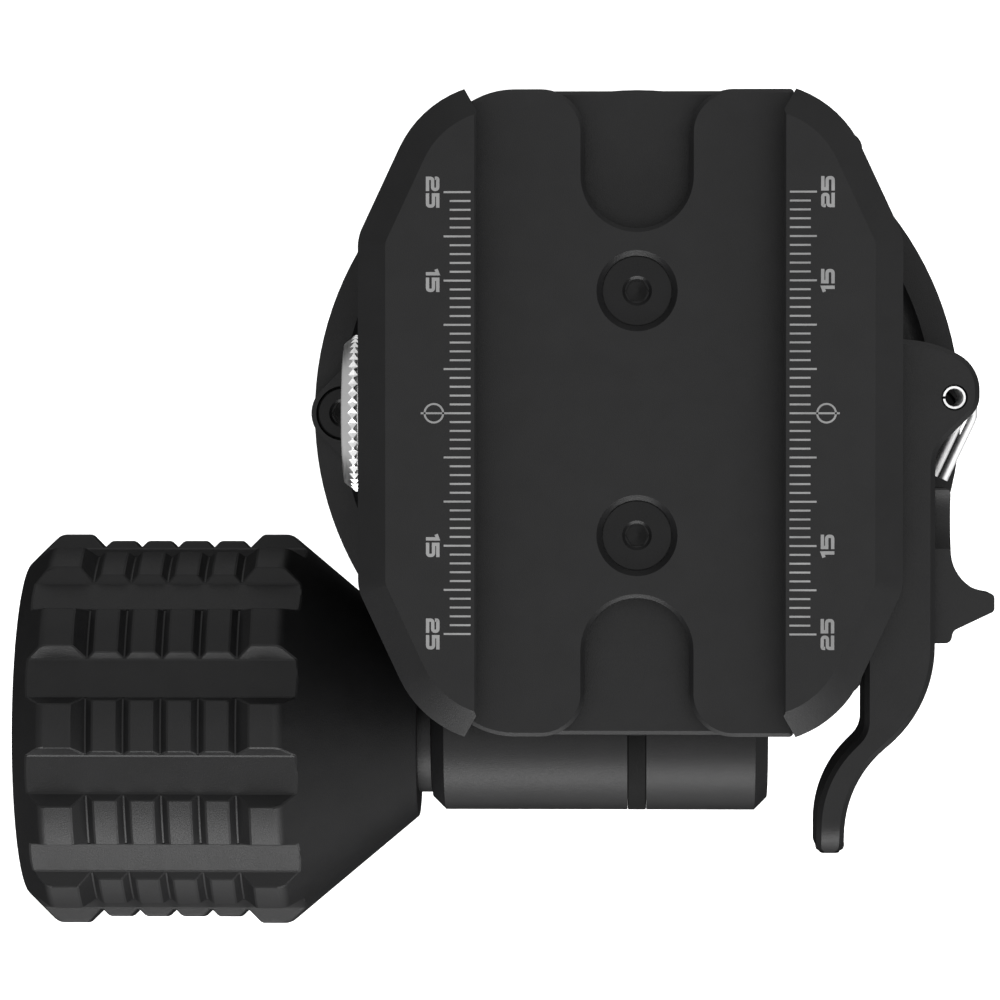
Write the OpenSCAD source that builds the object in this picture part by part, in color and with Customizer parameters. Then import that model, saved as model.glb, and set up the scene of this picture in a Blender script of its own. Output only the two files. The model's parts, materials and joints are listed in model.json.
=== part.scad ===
// Ball head with a split clamping collar, a large side knob and a lever-operated dovetail clamp.
// Millimetres. The origin is the mouth of the tripod thread, +Z is up, +Y is the side away from the knob.

/* [Base] */
// Radius of the base plate
base_r = 26; // [22:0.5:30]
// Height of the base plate
base_h = 7.5; // [6.5:0.5:9]
// Wall radius of the tripod thread
thread_r = 3.97; // [3.2:0.01:4.6]
// Outer radius of the thread insert
insert_r = 6; // [5.5:0.1:6.5]
// Radius of the stem foot
foot_r = 14.5; // [14:0.1:16]
// Depth of the pocket that takes the stem foot
foot_seat = 2; // [1:0.1:3]
// Radius of the screw circle under the base
base_pcd_r = 10.7; // [10.5:0.1:11]

/* [Ball] */
// Radius of the ball
ball_r = 17.5; // [16.5:0.1:18]
// Height of the ball centre, which is also the knob axis
ball_z = 37; // [36:0.5:38]
// Radius of the neck under the ball
neck_r = 7; // [6:0.1:7.5]
// Wall of the spherical bearing cup
cup_wall = 1.2; // [0.8:0.1:1.4]
// Angle that the cup covers, from the top of the ball
cup_angle = 50; // [40:1:54]
// Angle from straight down at which the bearing ring starts
ring_angle = 60.5; // [59:0.5:64]

/* [Housing] */
// Radius of the bore that takes the bearings
bore_r = 22; // [21:0.1:23]
// Top of the collar
collar_top = 50; // [49:0.5:51]
// Bottom of the collar
collar_bottom = 26; // [25.5:0.1:26.5]
// Radius of the cap over the collar
cap_r = 38.2; // [38:0.1:38.4]
// Overhang of the cap beyond the collar
cap_overhang = 0.8; // [0.4:0.1:1.2]
// Height of the rim of the cap above the collar
cap_rim_h = 4; // [3:0.1:4.4]
// Width of the rim of the cap
cap_rim_w = 3.2; // [2:0.1:4]
// Depth of the dish inside the rim
cap_dish = 0.5; // [0.3:0.1:2.5]
// Steepness of the curved side of the dish at the rim
dish_steep = 38; // [30:1:60]
// Radius of the pedestal that carries the clamp
pedestal_r = 20; // [19:0.5:24]
// Distance of each cap screw from the edge of the cap
cap_screw_inset = 3.45; // [3.4:0.05:3.8]
// Radius of the heads of the cap screws
cap_head_r = 2.9; // [2.6:0.05:2.95]
// Radius of the nose around each cap screw
cap_nose_r = 3.8; // [3.4:0.1:4]

/* [Collar ears] */
// Distance of the knob axis outside the collar
ear_out = 1.16; // [0.6:0.02:2.6]
// Least gap between the tip of the knob and the collar
tip_clear = 1; // [0.5:0.1:1.5]
// Radius of the ear tube
ear_r = 9.8; // [9:0.1:10]
// Left end of the ear tube
ear_left = -24.8; // [-26:0.1:-24]
// Right end of the ear tube
ear_right = 15.8; // [14:0.1:20]
// Chamfer on the ends of the ear tube
ear_chamfer = 1.55; // [0.5:0.05:2]
// Width of the slot that splits the collar
slot_w = 2.3; // [1.5:0.1:3]

/* [Knob] */
// Length of the knob along its axis
knob_len = 47.45; // [44:0.05:52]
// Gap between the knob and the ear tube, filled by the thrust collar
thrust_w = 1.7; // [1:0.1:3]
// Radius of the two lands of the knob
knob_r = 23.73; // [23.3:0.01:24.5]
// Radius of the flat end of the knob
knob_end_r = 20.2; // [19:0.1:21]
// Radius of the small end of the cone
knob_tip_r = 10.6; // [9:0.1:10.7]
// Length of the chamfer at the flat end
knob_chamfer = 3.6; // [2:0.1:4.5]
// Width of the land next to the flat end
land_w = 3.7; // [2:0.05:4.5]
// Width of the land next to the cone
cone_land_w = 3.45; // [2:0.05:4.5]
// Rounding between that land and the cone
knob_round = 2; // [0.5:0.1:4]
// Number of rings cut between the lands
groove_count = 5; // [3:1:7]
// Distance between the rings
groove_pitch = 4.44; // [3.5:0.02:4.8]
// Radius at the bottom of the rings
groove_r = 22.1; // [21.9:0.05:22.6]
// Radius of the ribs between the rings
rib_r = 22.95; // [22.7:0.05:23.2]
// Half width of a ring at the lands
groove_half = 1.65; // [1:0.05:1.8]
// Number of lengthwise flats
flat_count = 12; // [8:1:14]
// Distance of the flats from the knob axis
flat_r = 21.94; // [21:0.02:22.2]
// Width of the floor of each flat
flat_w = 4.6; // [3:0.1:5]
// Angle of the first flat, from straight up towards the front
flat_angle = 10.6; // [0:0.2:30]
// Radius of the hollow inside the knob
knob_hollow_r = 16.5; // [14:0.5:18]
// Radius of the clamping stud
stud_r = 4; // [3:0.1:4.2]

/* [Clamp] */
// Underside of the clamp
clamp_z = 58.5; // [58.4:0.1:59]
// Floor of the dovetail channel
floor_z = 73; // [72.6:0.1:73.4]
// Top of the jaws
jaw_z = 79; // [78.6:0.1:80]
// Right side of the clamp plate
plate_right = 17.9; // [17.7:0.1:18]
// Left side of the clamp plate, under the fixed jaw
plate_left = -28; // [-28.2:0.1:-26]
// Middle line of the two jaws
jaw_mid = -0.8; // [-1:0.1:-0.6]
// Distance of each lip from the middle line
lip_x = 17.4; // [17.3:0.05:17.8]
// Distance of the outer edge of each jaw from the middle line
jaw_out = 30.9; // [30.8:0.05:31.2]
// Half length of the straight side of each jaw
jaw_side = 20; // [16:0.5:22]
// Half length of the jaws
jaw_half = 37.45; // [36:0.05:38]
// Overhang of the jaws beyond each end of the plate
jaw_overhang = 0.4; // [0:0.05:1]
// Slant of the jaw corners, from the length of the clamp
jaw_slant = 25; // [20:1:32]
// Radius of the jaw ends
jaw_end_r = 12.7; // [9:0.1:13]
// Width of the sloped border of the jaws
border_w = 3.2; // [2:0.1:3.6]
// Height of the sloped border of the jaws
border_h = 1.6; // [1:0.1:2]
// Chamfer on the top edge of each lip
lip_edge = 0.22; // [0.1:0.02:0.4]
// Undercut of the 45 degree dovetail
undercut = 1.4; // [1:0.1:2]
// Height of the jaw flanges
flange_h = 4.5; // [4:0.1:4.6]
// Chamfer along the edges of the plate
edge_chamfer = 0.45; // [0.3:0.05:0.8]
// Width of the relief cut in each end of the plate
relief_w = 12.05; // [10:0.05:15]
// Distance of the round end of each relief from the middle
relief_y = 21.15; // [20:0.05:24]
// Depth of each relief
relief_depth = 3.6; // [1:0.1:3.8]
// Radius of the mouth of each relief
relief_mouth_r = 5; // [3:0.5:6]
// Distance of the two clamp screws from the middle
clamp_screw_y = 14; // [13:0.1:14.5]
// Radius of the clamp screw heads
clamp_head_r = 3.9; // [3.6:0.1:4.1]
// Depth of the screw heads under the floor
clamp_head_depth = 0.8; // [0.3:0.1:1.5]

/* [Moving jaw] */
// Width of the body under the moving jaw
jaw_body_w = 7.4; // [7.2:0.1:7.5]
// Half length of the body under the moving jaw
jaw_body_half = 32; // [30:0.5:32]
// Distance of the guide pins from the middle
guide_y = 24; // [20:0.5:26]
// Radius of the guide pins
guide_r = 2; // [1.5:0.1:2.5]
// Wall of the guide bushes
bush_wall = 1.2; // [0.8:0.1:1.5]
// Thickness of the wear plate under the cam
wear_t = 1; // [0.8:0.1:1.5]

/* [Thumbwheel] */
// Radius of the thumbwheel
wheel_r = 9.1; // [8.5:0.1:9.2]
// Thickness of the thumbwheel
wheel_t = 4.6; // [3.5:0.1:5]
// Number of knurl teeth
wheel_teeth = 48; // [32:1:60]
// Depth of the knurl
wheel_knurl = 0.5; // [0.3:0.05:0.8]
// Height of the draw bar axis
bar_z = 65; // [64.8:0.1:65.2]
// Radius of the draw bar
bar_r = 3; // [2.5:0.1:3.2]
// Radius of the threaded end of the draw bar
bar_thread_r = 2.5; // [2:0.1:2.5]

/* [Lever] */
// Lever pivot, left to right
pivot_x = 30.6; // [30.4:0.05:30.8]
// Lever pivot, front to back
pivot_y = 4; // [3.8:0.05:4.2]
// Radius of the pivot pin
pivot_r = 1.75; // [1.5:0.05:1.8]
// Radius of the eye of the draw bar
eye_r = 3.3; // [3.1:0.05:3.4]
// Underside of the lever
lever_bottom = 59.2; // [59:0.1:59.4]
// Top of the lever
lever_top = 71.8; // [71.4:0.1:72]
// Inner edge of the handle
handle_in = 26.63; // [26.4:0.05:26.8]
// Outer edge of the handle
handle_out = 34.14; // [33.9:0.02:34.4]
// End of the handle
handle_end = -50.8; // [-56:0.1:-48]
// Width of the fingertip of the handle
tip_w = 3.19; // [2.4:0.01:4]
// Angle that the lever swings
lever_swing = 100; // [60:5:100]
// Travel of the moving jaw
jaw_travel = 3; // [2:0.1:3]

/* [Latch] */
// Latch pivot, left to right
latch_x = 36.3; // [36.2:0.05:36.4]
// Latch pivot, front to back
latch_y = 1.8; // [1.7:0.05:1.9]
// Radius of the latch pin
latch_pin_r = 1.3; // [1:0.05:1.35]
// Wall of the latch pin, which is rolled from sheet
latch_pin_wall = 0.25; // [0.2:0.05:0.6]
// Radius of the latch boss
latch_boss_r = 2.4; // [2.1:0.05:2.45]
// Reach of the finger tip of the latch
latch_tip = 41.1; // [40:0.1:43]
// Wire diameter of the latch spring
wire_d = 1; // [0.6:0.05:1]
// Mean radius of the latch spring coils
coil_r = 2.1; // [2.05:0.01:2.15]
// Distance of the outer spring leg from the pin axis
leg_offset = 3.16; // [3.1:0.02:3.2]

/* [Fits] */
// Radial running clearance of pins and shafts
run_gap = 0.04; // [0.02:0.01:0.08]
// Gap between the spherical bearing faces
ball_gap = 0.1; // [0.05:0.05:0.15]
// Gap between parts that move past each other
free_gap = 0.3; // [0.2:0.05:0.35]
// Gap between the cam and its wear plate
cam_gap = 0.15; // [0.1:0.05:0.2]

/* [Hidden] */
$fn = 96;
arc_steps = 12;
eps = 0.01;
over = 1;
merge = 0.2;
far = 100;
black = [0.11, 0.11, 0.115];
steel = [0.72, 0.72, 0.73];
dark_steel = [0.16, 0.16, 0.17];
bronze = [0.62, 0.46, 0.26];
rubber_black = [0.05, 0.05, 0.05];
liner_grey = [0.34, 0.34, 0.33];

// Screws
head_edge = 0.4;
hex_socket_r = 1.38;
hex_socket_depth = 1.1;
hex_rim_r = 1.72;
hex_rim_w = 0.34;
hex_rim_h = 0.24;
hex_point_r = 1.15;
hex_point_h = 0.25;

// Base
base_foot_chamfer = 0.6;
base_top_chamfer = 1.6;
base_screw_recess = 0.3;
base_head_r = 3.6;
base_shank_r = 1.75;
base_screw_len = 9;
insert_reach = 2;
insert_len = base_h + insert_reach;
foot_z = base_h - foot_seat;
foot_wall = 3;

// Bearing stack
seat_gap = 0.4;
seat_rise = 3;
cup_in = ball_r + ball_gap;
cup_out = cup_in + cup_wall;
cavity_r = cup_out + 2 * ball_gap;
ring_bottom = ball_z - cup_in * cos(ring_angle) + ball_gap;
ring_top = ball_z - seat_gap;
ledge_z = ring_bottom - ball_gap;
seat_bottom = ball_z + seat_rise;
seat_top = collar_top - seat_gap;
lip_clear = 1.3;

// Collar and cap
collar_r = cap_r - cap_overhang;
collar_foot_w = 5;
collar_cone_h = 8;
slot_reach = 4;
seal_gap = 0.02;
seal_edge = 0.15;
cap_screw_x = cap_r - cap_screw_inset;
cap_screw_bite = 8;
cap_shank_r = 1.5;
cap_head_h = 3;
cap_head_gap = 0.34;
cap_head_recess = 0.2;
rim_z = collar_top + cap_rim_h;
dish_z = rim_z - cap_dish;
dish_side_r = cap_dish / (1 - cos(dish_steep));
dish_steps = 6;
nose_rise = 0.8;
nose_z = rim_z + nose_rise;
nose_floor = 3;
nose_flank = 6;
cap_head_z = nose_z - cap_head_recess - cap_head_h;
pedestal_foot = 2;
spigot_r = 9;
spigot_h = 1.5;

// Knob along its axis
knob_tip_x = ear_left - thrust_w;
knob_end_x = knob_tip_x - knob_len;
collar_y = sqrt(max(0, collar_r * collar_r - knob_tip_x * knob_tip_x));
ear_y = -max(collar_r + ear_out, collar_y + knob_tip_r + tip_clear);
band_x = knob_end_x + knob_chamfer + land_w + groove_half;
band_end_x = band_x + (groove_count - 1) * groove_pitch;
cone_x = band_end_x + groove_half + cone_land_w;
rib_half = groove_half * (rib_r - groove_r) / (knob_r - groove_r);
flat_slope = 0.86;
end_round = 0.4;
land_round = 1.5;
tip_round = 0.3;
knob_cap_t = 2.5;
knob_cap_rim = 2;
knob_cap_dish = 0.6;
knob_wall = 2;
knob_floor_x = cone_x - knob_wall;
stud_head_w = 6;
stud_head_x = knob_floor_x - stud_head_w;
stud_end_gap = 1;
nut_w = 6.5;
nut_r = 7.5;
nut_recess = 0.5;
set_screw_r = 2;
set_screw_len = 8;
set_screw_in = 7;
set_screw_angle = 150;
thrust_r = 7.7;

// Clamp
plate_half = jaw_half - jaw_overhang;
flange_z = jaw_z - flange_h;
jaw_body_x = plate_right + free_gap;
jaw_body_right = jaw_body_x + jaw_body_w;
jaw_body_round = 2;
lip_left = jaw_mid - lip_x;
lip_right = jaw_mid + lip_x;
slant_run = tan(jaw_slant) * (jaw_half - jaw_side);
jaw_corner_r = 5;
plate_corner_r = 0.5;
plate_slant_x = jaw_mid - jaw_out + slant_run + border_w;
plate_side = jaw_side - over;
clamp_shank_r = 2;
clamp_screw_len = 20;
clamp_head_gap = 0.15;
clamp_head_chamfer = 0.6;
guide_grip = 9;
guide_end_gap = 1;
spring_wall = 1.3;
spring_proud = 0.1;
spring_pocket_r = guide_r + spring_wall + free_gap;
spring_pocket_len = 8;

// Thumbwheel and draw bar
washer_r = 5;
washer_room = 1.3;
wheel_x = plate_left - wheel_t - washer_room;
wheel_bevel_x = 1.37;
wheel_bevel_r = 1.02;
wheel_edge_x = 0.5;
wheel_edge_r = 0.6;
bar_end_gap = 0.8;
bar_thread_in = 2;
bar_thread_end = plate_left + bar_thread_in;
bar_way_gap = 0.5;
bar_way_r = bar_r + bar_way_gap;
bar_neck_half = 2.6;
bar_blend = 2;
eye_half = 1.9;
eye_neck = 1;

// Lever and cam
cam_slope = jaw_travel / (lever_swing * PI / 180);
cam_steps = 24;
cam_far = 4.7;
cam_near = cam_far + jaw_travel;
cam_root = 4;
wear_x = pivot_x - cam_near - cam_gap;
wear_ahead = 10;
wear_behind = 7;
wear_below = 5;
wear_above = 6.5;
wear_front = pivot_y - wear_ahead;
wear_back = pivot_y + wear_behind;
wear_low = bar_z - wear_below;
wear_high = bar_z + wear_above;
pocket_margin = 3;
bar_flat_x = wear_x - bar_way_gap;
bar_wide_x = wear_x + jaw_travel + free_gap;
lug_back = 8.55;
lug_right = 39.2;
lug_side = 5.48;
crown_x = 34.1;
crown_y = 8.13;
crown_round = 14;
lug_neck = -4.19;
lug_slope = 0.97;
lug_top_round = 4.65;
lug_round = 3;
neck_round = 4.4;
back_round = 0.6;
tip_end_round = 1.15;
tip_roll = 4.2;
tip_out = 23.8;
tip_in = tip_out - tip_w;
bend_low = -42.4;
bend_low_r = 13;
bend_rise = 0.844;
bend_high = bend_low + bend_rise * (handle_out - tip_out);
bend_high_r = 15;
bend_lag = 2.9;
bend_inner = bend_high - bend_lag;
bend_inner_r = 3.1;
bend_tip_r = 13.2;
grip_step = 0.53;
grip_in = handle_in - grip_step;
grip_top = -26.8;
grip_round = 0.5;
lever_roof = 1.2;
pin_recess = 0.2;
bar_slot_half = 2.1;
bar_slot_ahead = 9;
bar_slot_past = 3;
bar_slot_front = pivot_y - bar_slot_ahead;
bar_slot_right = pivot_x + bar_slot_past;
slot_end = lug_back + pocket_margin;

// Latch with its pin and springs
slot_floor = 1.8;
slot_roof = 2.4;
slot_wall = 2.2;
latch_slot_bottom = lever_bottom + slot_floor;
latch_slot_top = lever_top - slot_roof;
latch_slot_left = handle_in + slot_wall;
latch_slot_gap = 1.1;
latch_bottom = latch_slot_bottom + merge;
latch_top = latch_slot_top - merge;
latch_foot = -26.48;
latch_in = 2.5;
latch_proud = 1.93;
arm_in = 0.8;
latch_left = handle_out - latch_in;
latch_side = handle_out + latch_proud;
latch_shoulder = -8.6;
latch_arm_right = handle_out - arm_in;
latch_round = 0.8;
finger_rise = 6.3;
finger_top = latch_foot + finger_rise;
finger_fall = 0.6;
finger_w = 2.6;
finger_curve = 5;
finger_round = 0.55;
heel_out = 0.3;
heel_rise = 1.45;
heel_x = latch_side + heel_out;
heel_y = latch_foot + heel_rise;
scoop_r = 5.4;
scoop_depth = 1.2;
scoop_ahead = 3.6;
scoop_y = latch_shoulder - scoop_ahead;
nose_tip = latch_boss_r * [[-0.87, 0.87], [0.04, 0.75], [0.25, 1.33], [-0.29, 1.75], [-0.83, 1.58]];
pin_slit = 0.3;
pin_sink = 0.4;
pin_mouth = 0.2;
pin_mouth_depth = 2.2;
coil_pitch = 1.3 * wire_d;
coil_rings = 12;
coil_room = 0.45;
coil_apart = 0.65;
coil_low = bar_z - coil_apart - coil_pitch;
coil_high = bar_z + coil_apart;
coil_pocket_half = 2.65;
wire_sides = 8;
wire_end = 0.7;
leg_turn = 25.2;
leg_len = 8.95;

// Outlines with rounded corners: each vertex is [x, y, radius], counter-clockwise
function unit(v) = v / norm(v);
function flat2(p) = [p[0], p[1]];
function cross2(a, b) = a[0] * b[1] - a[1] * b[0];
function corner(a, b, c) =
  b[2] <= 0 ? [flat2(b)] :
  let (u = unit(flat2(a) - flat2(b)))
  let (v = unit(flat2(c) - flat2(b)))
  let (half = acos(u * v) / 2)
  let (centre = flat2(b) + unit(u + v) * b[2] / sin(half))
  let (from = flat2(b) + u * b[2] / tan(half) - centre)
  let (to = flat2(b) + v * b[2] / tan(half) - centre)
  let (start = atan2(from[1], from[0]))
  let (sweep = atan2(cross2(from, to), from * to))
  [for (i = [0:arc_steps])
    let (angle = start + sweep * i / arc_steps)
    centre + b[2] * [cos(angle), sin(angle)]];
function rounded(v) =
  [for (i = [0:len(v) - 1]) each corner(v[(i + len(v) - 1) % len(v)], v[i], v[(i + 1) % len(v)])];
function inset_vertex(a, b, c, d) =
  let (e = unit(flat2(b) - flat2(a)))
  let (f = unit(flat2(c) - flat2(b)))
  let (n = [-e[1], e[0]])
  let (m = [-f[1], f[0]])
  let (p = flat2(b) + (n + m) * d / (1 + n * m))
  [p[0], p[1], b[2] <= 0 ? 0 : max(b[2] - sign(cross2(e, f)) * d, eps)];
function inset(v, d) =
  [for (i = [0:len(v) - 1]) inset_vertex(v[(i + len(v) - 1) % len(v)], v[i], v[(i + 1) % len(v)], d)];

// A solid through a stack of outlines with equal point counts: each ring is [points, z]
module stacked(rings) {
  n = len(rings[0][0]);
  last = len(rings) - 1;
  polyhedron(
    points = [for (r = rings) each [for (p = r[0]) [p[0], p[1], r[1]]]],
    faces = concat(
      [[for (i = [0:n - 1]) i]],
      [[for (i = [n - 1:-1:0]) last * n + i]],
      [for (k = [0:last - 1]) for (i = [0:n - 1])
        [k * n + i, (k + 1) * n + i, (k + 1) * n + (i + 1) % n, k * n + (i + 1) % n]]
    )
  );
}

// A prism on a rounded outline, with a chamfer of the given width and height round its top
module chamfered(v, bottom, top, width, height) {
  stacked([[rounded(v), bottom], [rounded(v), top - height], [rounded(inset(v, width)), top]]);
}

// A solid turned about the X axis: each point is [x, radius]
module turned(profile) {
  rotate([0, 90, 0]) rotate_extrude() polygon([for (p = profile) [p[1], p[0]]]);
}

module rod_x(x0, x1, r) {
  translate([x0, 0, 0]) rotate([0, 90, 0]) cylinder(h = x1 - x0, r = r);
}

module hex_x(x0, x1, r) {
  translate([x0, 0, 0]) rotate([0, 90, 0]) cylinder(h = x1 - x0, r = r, $fn = 6);
}

module hex_socket() {
  translate([0, 0, -hex_socket_depth]) cylinder(h = hex_socket_depth + eps, r = hex_socket_r, $fn = 6);
  translate([0, 0, -hex_rim_h]) cylinder(h = hex_rim_h + eps, r1 = hex_rim_r - hex_rim_w, r2 = hex_rim_r);
  translate([0, 0, -hex_socket_depth - hex_point_h]) cylinder(h = hex_point_h + eps, r1 = 0, r2 = hex_point_r);
}

// The room that a countersunk screw takes: the top of its head is at the origin, with a straight way above it
module countersunk_room(head_r, shank_r, length, above) {
  cone_h = head_r - shank_r;
  translate([0, 0, -head_edge]) cylinder(h = head_edge + above, r = head_r);
  translate([0, 0, -head_edge - cone_h]) cylinder(h = cone_h, r1 = shank_r, r2 = head_r);
  translate([0, 0, -length]) cylinder(h = length - head_edge, r = shank_r);
}

module countersunk(head_r, shank_r, length) {
  difference() {
    countersunk_room(head_r, shank_r, length, 0);
    hex_socket();
  }
}

// Base and ball
module base_screw_places() {
  for (a = [90, 210, 330])
    rotate(a) translate([base_pcd_r, 0, base_screw_recess]) mirror([0, 0, 1]) children();
}

module base_plate() {
  color(black) difference() {
    rotate_extrude() polygon([
      [0, 0], [base_r - base_foot_chamfer, 0], [base_r, base_foot_chamfer], [base_r, base_h - base_top_chamfer],
      [base_r - base_top_chamfer, base_h], [0, base_h]]);
    translate([0, 0, foot_z]) cylinder(h = foot_seat + eps, r = foot_r);
    translate([0, 0, -eps]) cylinder(h = base_h, r = insert_r);
    base_screw_places() countersunk_room(base_head_r, base_shank_r, base_screw_len, over);
  }
}

module thread_insert() {
  color(steel) difference() {
    cylinder(h = insert_len, r = insert_r);
    translate([0, 0, -eps]) cylinder(h = insert_len + 2 * eps, r = thread_r);
  }
}

module ball_stem() {
  foot_top = foot_z + foot_wall;
  color(dark_steel) difference() {
    union() {
      rotate_extrude() polygon([
        [0, foot_z], [foot_r, foot_z], [foot_r, foot_top], [neck_r, foot_top + foot_r - neck_r],
        [neck_r, ball_z], [0, ball_z]]);
      translate([0, 0, ball_z]) sphere(r = ball_r);
    }
    translate([0, 0, -eps]) cylinder(h = insert_len + eps, r = insert_r);
    base_screw_places() translate([0, 0, -base_screw_len]) cylinder(h = base_screw_len, r = base_shank_r);
  }
}

module base_screws() {
  color(dark_steel) base_screw_places() countersunk(base_head_r, base_shank_r, base_screw_len);
}

// Bearings
module bearing_cup() {
  color(liner_grey) difference() {
    translate([0, 0, ball_z]) sphere(r = cup_out);
    translate([0, 0, ball_z]) sphere(r = cup_in);
    translate([-far, -far, ball_z + cup_in * cos(cup_angle) - 2 * far]) cube(2 * far);
  }
}

module bearing_ring() {
  color(liner_grey) difference() {
    translate([0, 0, ring_bottom]) cylinder(h = ring_top - ring_bottom, r = bore_r - ball_gap);
    translate([0, 0, ball_z]) sphere(r = cup_in);
  }
}

module upper_seat() {
  color(bronze) difference() {
    translate([0, 0, seat_bottom]) cylinder(h = seat_top - seat_bottom, r = bore_r);
    translate([0, 0, ball_z]) sphere(r = cavity_r);
  }
}

// Collar with its ears
module ear_axis() {
  translate([0, ear_y, ball_z]) children();
}

module cap_screw_places() {
  for (s = [-1, 1])
    translate([s * cap_screw_x, 0, 0]) children();
}

module housing() {
  ledge_r = cup_in * sin(ring_angle) + lip_clear;
  flare_r = (ball_z - collar_bottom) * tan(ring_angle);
  bite_z = collar_top - cap_screw_bite;
  slot_front = ear_y - ear_r - over;
  slot_back = slot_reach - bore_r;
  color(black) difference() {
    union() {
      rotate_extrude() polygon([
        [ledge_r, ledge_z], [flare_r, collar_bottom], [flare_r + collar_foot_w, collar_bottom],
        [collar_r, collar_bottom + collar_cone_h], [collar_r, collar_top], [bore_r, collar_top],
        [bore_r, ledge_z]]);
      ear_axis() turned([
        [ear_left, 0], [ear_left, ear_r - ear_chamfer], [ear_left + ear_chamfer, ear_r],
        [ear_right - ear_chamfer, ear_r], [ear_right, ear_r - ear_chamfer], [ear_right, 0]]);
      cap_screw_places() translate([0, 0, bite_z - nose_floor])
        cylinder(h = cap_screw_bite + nose_floor, r = cap_nose_r);
    }
    translate([-slot_w / 2, slot_front, collar_bottom - over])
      cube([slot_w, slot_back - slot_front, collar_top - collar_bottom + 2 * over]);
    ear_axis() rod_x(ear_left - over, ear_right + over, stud_r + free_gap);
    ear_axis() hex_x(ear_right - nut_w, ear_right + over, nut_r);
    cap_screw_places() translate([0, 0, bite_z]) cylinder(h = far, r = cap_shank_r);
  }
}

module slot_seal() {
  half = slot_w / 2 - seal_gap;
  color(rubber_black) ear_axis() difference() {
    turned([
      [-half, 0], [half, 0], [half, ear_r - seal_edge], [half - seal_edge, ear_r],
      [seal_edge - half, ear_r], [-half, ear_r - seal_edge]]);
    rod_x(-slot_w, slot_w, stud_r + free_gap);
  }
}

module stud_nut() {
  color(dark_steel) ear_axis() difference() {
    hex_x(ear_right - nut_w, ear_right - nut_recess, nut_r);
    rod_x(0, far, stud_r + run_gap);
  }
}

// Cap over the collar, with the pedestal of the clamp
module nose_outline() {
  tangent = cap_nose_r * sqrt(0.5);
  circle(r = cap_nose_r);
  polygon([
    [tangent, -tangent], [tangent, tangent],
    [tangent - nose_flank, tangent + nose_flank], [tangent - nose_flank, -tangent - nose_flank]]);
}

module top_cap() {
  dish_r = cap_r - cap_rim_w;
  spigot_z = clamp_z + spigot_h;
  color(black) difference() {
    union() {
      rotate_extrude() polygon([
        [0, seat_top], [bore_r, seat_top], [bore_r, collar_top], [cap_r, collar_top], [cap_r, rim_z],
        for (i = [dish_steps : -1 : 0])
          let (a = dish_steep * i / dish_steps)
          [dish_r - dish_side_r * (sin(dish_steep) - sin(a)), dish_z + dish_side_r * (1 - cos(a))],
        [pedestal_r + pedestal_foot, dish_z],
        [pedestal_r, dish_z + pedestal_foot], [pedestal_r, clamp_z], [spigot_r, clamp_z],
        [spigot_r, spigot_z], [0, spigot_z]]);
      for (a = [0, 180])
        rotate(a) translate([cap_screw_x, 0, collar_top]) linear_extrude(nose_z - collar_top) nose_outline();
    }
    translate([0, 0, ball_z]) sphere(r = cavity_r);
    cap_screw_places() translate([0, 0, cap_head_z]) cylinder(h = far, r = cap_head_r + cap_head_gap);
    cap_screw_places() cylinder(h = far, r = cap_shank_r);
    clamp_screw_places() translate([0, 0, -clamp_screw_len]) cylinder(h = clamp_screw_len, r = clamp_shank_r);
  }
}

module cap_screws() {
  shank_z = collar_top - cap_screw_bite;
  color(dark_steel) cap_screw_places() difference() {
    union() {
      translate([0, 0, cap_head_z]) cylinder(h = cap_head_h, r = cap_head_r);
      translate([0, 0, shank_z]) cylinder(h = cap_head_z - shank_z + merge, r = cap_shank_r);
    }
    translate([0, 0, cap_head_z + cap_head_h]) hex_socket();
  }
}

// Knob and clamping stud
module knob_flat() {
  reach = knob_r - flat_r + over;
  rotate([90, 0, 90]) translate([0, 0, knob_end_x - over]) linear_extrude(knob_len + 2 * over) polygon([
    [-flat_w / 2, flat_r], [flat_w / 2, flat_r],
    [flat_w / 2 + flat_slope * reach, flat_r + reach], [-flat_w / 2 - flat_slope * reach, flat_r + reach]]);
}

module knob_set_screw_place() {
  ear_axis() translate([cone_x + set_screw_in, 0, 0]) rotate([set_screw_angle, 0, 0]) children();
}

module knob() {
  last = groove_count - 1;
  profile = concat(
    [[knob_end_x, 0, 0], [knob_end_x, knob_end_r, end_round], [knob_end_x + knob_chamfer, knob_r, land_round]],
    [for (i = [0:last]) let (x = band_x + i * groove_pitch) each [
      i == 0 ? [x - groove_half, knob_r, 0] : [x - rib_half, rib_r, 0],
      [x, groove_r, 0],
      i == last ? [x + groove_half, knob_r, 0] : [x + rib_half, rib_r, 0]]],
    [[cone_x, knob_r, knob_round], [knob_tip_x, knob_tip_r, tip_round], [knob_tip_x, 0, 0]]);
  color(black) difference() {
    ear_axis() difference() {
      turned(rounded(profile));
      for (k = [0:flat_count - 1])
        rotate([flat_angle + k * 360 / flat_count, 0, 0]) knob_flat();
      rod_x(knob_end_x - over, knob_floor_x, knob_hollow_r);
      rod_x(knob_floor_x - over, knob_tip_x + over, stud_r);
    }
    knob_set_screw_place() cylinder(h = far, r = set_screw_r);
  }
}

module knob_cap() {
  color(black) ear_axis() difference() {
    rod_x(knob_end_x, knob_end_x + knob_cap_t, knob_hollow_r);
    rod_x(knob_end_x - over, knob_end_x + knob_cap_dish, knob_hollow_r - knob_cap_rim);
  }
}

module clamp_stud() {
  color(dark_steel) ear_axis() {
    rod_x(knob_floor_x - eps, ear_right - stud_end_gap, stud_r);
    hex_x(stud_head_x, knob_floor_x, nut_r);
  }
}

module knob_set_screw() {
  top = stud_r + set_screw_len;
  color(dark_steel) knob_set_screw_place() difference() {
    translate([0, 0, stud_r]) cylinder(h = set_screw_len, r = set_screw_r);
    translate([0, 0, top]) hex_socket();
  }
}

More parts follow.
